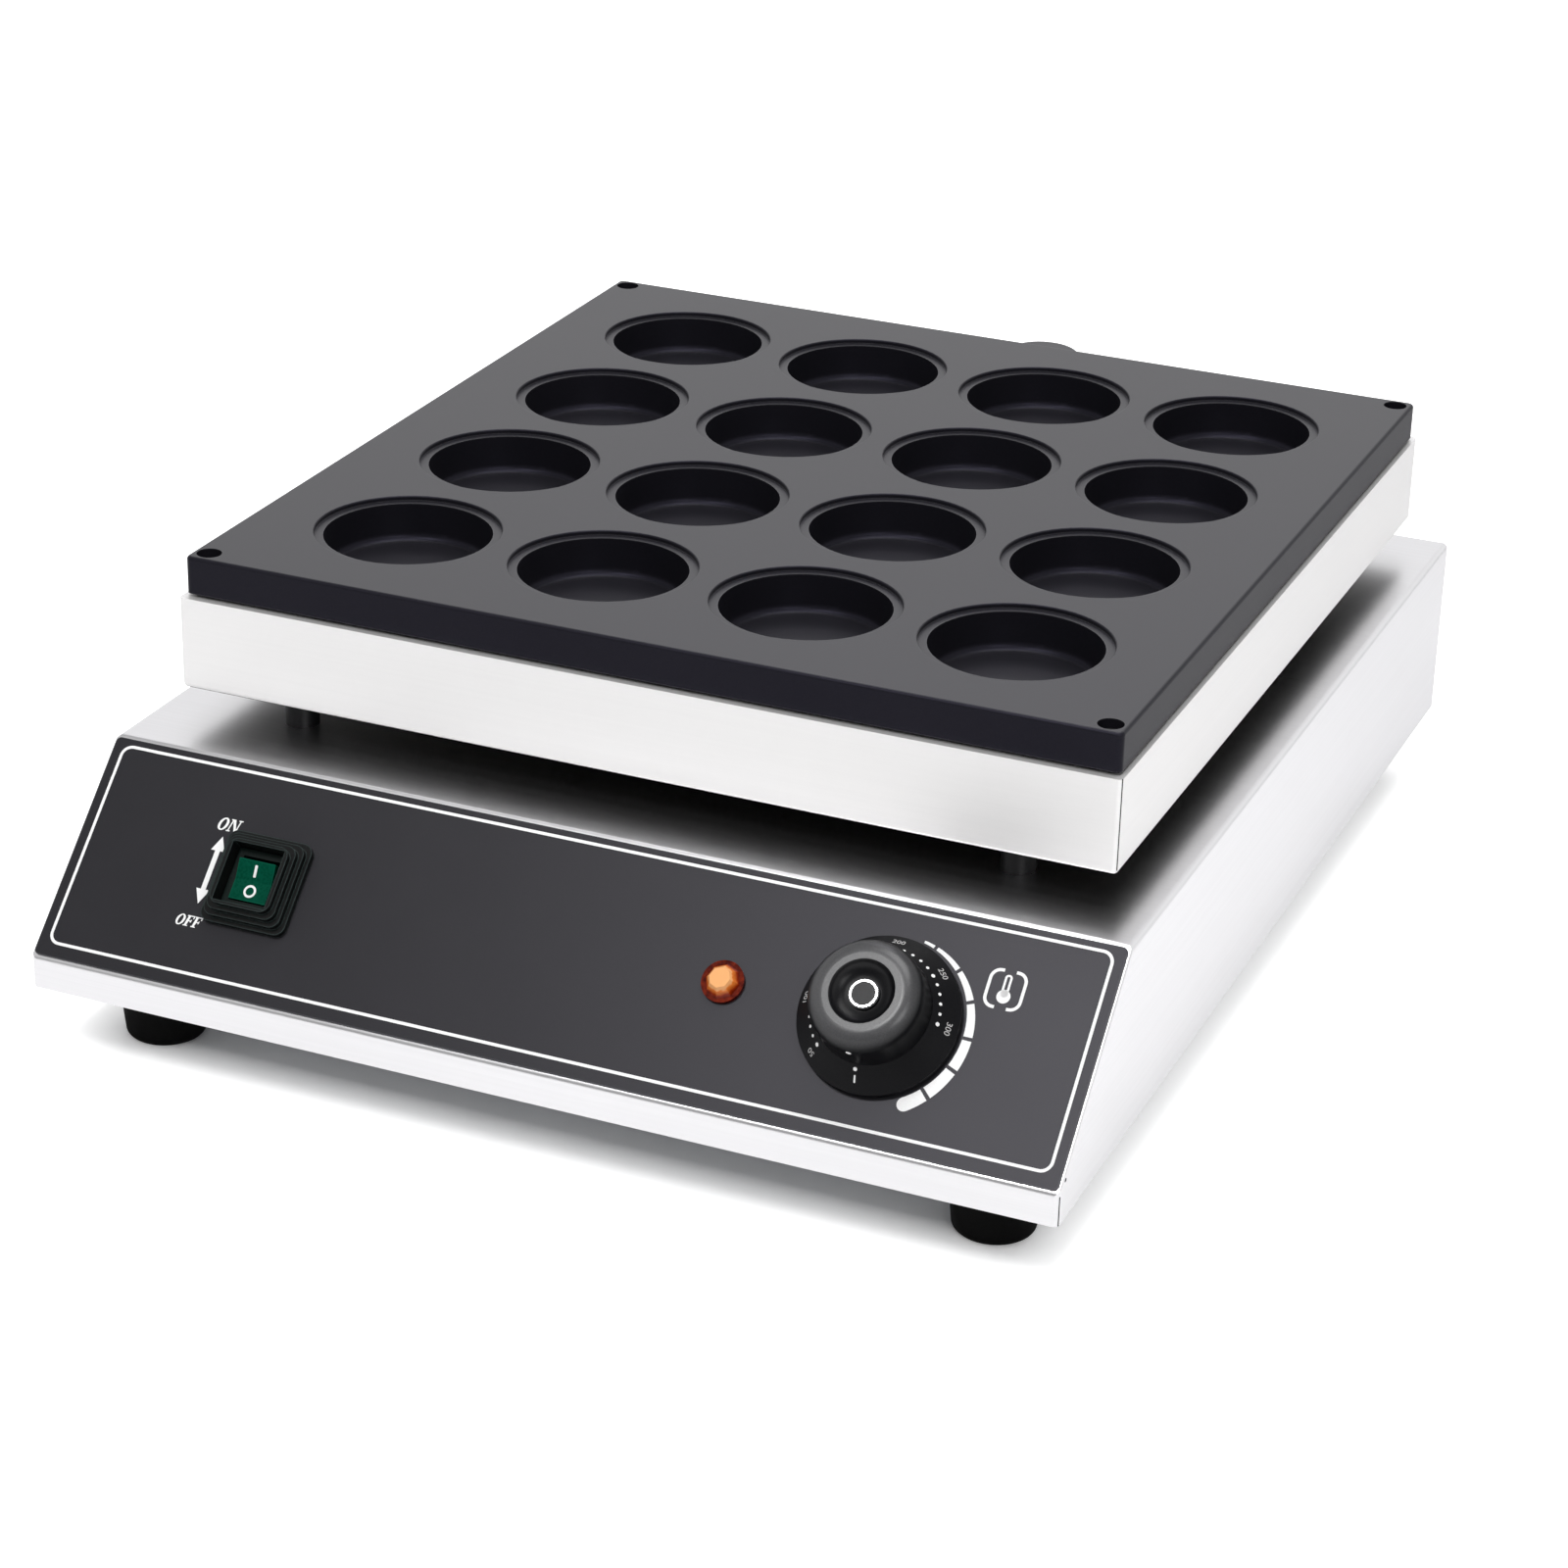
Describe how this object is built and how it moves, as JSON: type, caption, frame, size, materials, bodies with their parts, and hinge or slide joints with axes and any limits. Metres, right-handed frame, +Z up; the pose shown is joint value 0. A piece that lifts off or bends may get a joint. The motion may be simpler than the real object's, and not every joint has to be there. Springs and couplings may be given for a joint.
{
  "type": "electric cake maker",
  "caption": "Countertop electric maker for round filled cakes: coated pocket plate on a heater tray, steel base with sloped control panel, rocker switch, pilot lamp and dial.",
  "frame": {"origin": "on the worktop under the middle of the casing", "axes": "+X to the right, +Y to the back, +Z up; the control panel faces -Y"},
  "size_m": [0.405, 0.49, 0.17],
  "materials": {
    "stainless": "brushed stainless sheet",
    "zinc_steel": "zinc plated steel",
    "rubber_black": "matt black rubber",
    "pillar_black": "black oxide steel",
    "insulation": "glass fibre felt",
    "reflector": "bright foil",
    "coated_aluminium": "satin black non-stick coat",
    "black_screw": "black oxide",
    "element_steel": "heat darkened sheath",
    "porcelain": "glazed porcelain",
    "copper": "drawn copper",
    "panel_black": "fine textured black",
    "switch_black": "black moulded plastic",
    "rocker_green": "green moulded plastic",
    "brass_tabs": "plain brass",
    "lamp_orange": "amber lens",
    "knob_black": "satin black moulded plastic",
    "lead_insulation": "silicone covered wire"
  },
  "bodies": {
    "chassis": {"chassis_shell": "stainless", "rear_panel": "stainless", "base_plate": "zinc_steel", "base_screws": "zinc_steel", "base_nuts": "zinc_steel", "foot_front_left": "rubber_black", "foot_front_right": "rubber_black", "foot_rear_left": "rubber_black", "foot_rear_right": "rubber_black", "foot_screws": "zinc_steel", "foot_nuts": "zinc_steel", "pillar_front_left": "pillar_black", "pillar_front_right": "pillar_black", "pillar_rear_left": "pillar_black", "pillar_rear_right": "pillar_black", "pillar_bolts": "zinc_steel", "pillar_nuts": "zinc_steel", "heater_tray": "stainless", "insulation_mat": "insulation", "reflector_sheet": "reflector", "plate_gasket": "insulation", "baking_plate": "coated_aluminium", "plate_screws": "black_screw", "plate_nuts": "zinc_steel", "heating_element_left": "element_steel", "heating_element_right": "element_steel", "element_insulators": "porcelain", "element_studs": "zinc_steel", "clamp_bar_front": "zinc_steel", "clamp_bar_rear": "zinc_steel", "clamp_screws": "zinc_steel", "thermostat_bulb": "copper", "bulb_clip": "zinc_steel", "clip_screws": "zinc_steel", "capillary_tube": "copper", "control_panel": "panel_black", "switch_guard": "rubber_black", "switch_body": "switch_black", "switch_tabs": "brass_tabs", "lamp_lens": "lamp_orange", "lamp_body": "porcelain", "lamp_nut": "switch_black", "thermostat_body": "switch_black", "thermostat_tabs": "brass_tabs", "thermostat_screws": "zinc_steel", "wire_conduit": "zinc_steel", "cord_gland": "switch_black", "gland_cap": "switch_black", "gland_nut": "switch_black", "terminal_block": "porcelain", "terminal_screws": "zinc_steel", "earth_stud": "brass_tabs", "heater_leads": "lead_insulation", "switch_leads": "lead_insulation", "lamp_leads": "lead_insulation", "earth_lead": "lead_insulation"},
    "dial": {"thermostat_knob": "knob_black", "knob_cap": "knob_black", "thermostat_shaft": "zinc_steel"},
    "rocker": {"switch_rocker": "rocker_green"}
  },
  "joints": [
    {"name": "dial_turn", "type": "hinge", "parent": "chassis", "child": "dial", "pos_m": [0.123, -0.21239, 0.07417], "axis": [0, -0.6961, 0.7179], "range_deg": [-300, 0]},
    {"name": "rocker_tilt", "type": "hinge", "parent": "chassis", "child": "rocker", "pos_m": [-0.123, -0.21297, 0.07254], "axis": [1, 0, 0], "range_deg": [-18, 0]}
  ]
}
